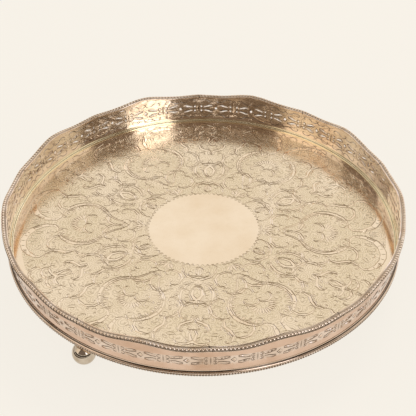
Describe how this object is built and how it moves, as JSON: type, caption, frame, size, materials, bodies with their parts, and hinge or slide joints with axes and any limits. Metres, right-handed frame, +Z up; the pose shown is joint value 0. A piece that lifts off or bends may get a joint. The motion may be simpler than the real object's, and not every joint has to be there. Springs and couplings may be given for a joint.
{
  "type": "offering plate",
  "caption": "Round silver-plated gallery tray with an engraved floor, a pierced wall with a waved gadrooned edge, and ball feet.",
  "frame": {"origin": "on the table, at the centre of the tray, under the bottoms of the ball feet", "axes": "+Z up out of the open tray, -Y through a joint of the wall near the front foot, +X to the right of it"},
  "size_m": [0.3204, 0.32, 0.0539],
  "materials": {
    "engraved_floor": "silver plated, engraved and matted",
    "pierced_wall": "silver plated, polished, slightly tarnished",
    "rim_border": "silver plated, polished with dark recesses",
    "plain_moulding": "silver plated, polished",
    "base_border": "silver plated with dark recesses",
    "foot": "silver plated, mirror polished"
  },
  "bodies": {
    "root": {"tray_plate": "engraved_floor", "gallery_panel_01": "pierced_wall", "gallery_panel_02": "pierced_wall", "gallery_panel_03": "pierced_wall", "gallery_panel_04": "pierced_wall", "gallery_panel_05": "pierced_wall", "gallery_panel_06": "pierced_wall", "gallery_panel_07": "pierced_wall", "gallery_panel_08": "pierced_wall", "gallery_panel_09": "pierced_wall", "gallery_panel_10": "pierced_wall", "rim_border_01": "rim_border", "rim_border_02": "rim_border", "rim_border_03": "rim_border", "rim_border_04": "rim_border", "rim_border_05": "rim_border", "rim_border_06": "rim_border", "rim_border_07": "rim_border", "rim_border_08": "rim_border", "rim_border_09": "rim_border", "rim_border_10": "rim_border", "inner_fillet": "plain_moulding", "base_moulding": "plain_moulding", "base_border": "base_border", "foot_pad_01": "foot", "foot_pad_02": "foot", "foot_pad_03": "foot", "foot_collar_01": "foot", "foot_collar_02": "foot", "foot_collar_03": "foot", "foot_ball_01": "foot", "foot_ball_02": "foot", "foot_ball_03": "foot"}
  },
  "joints": []
}
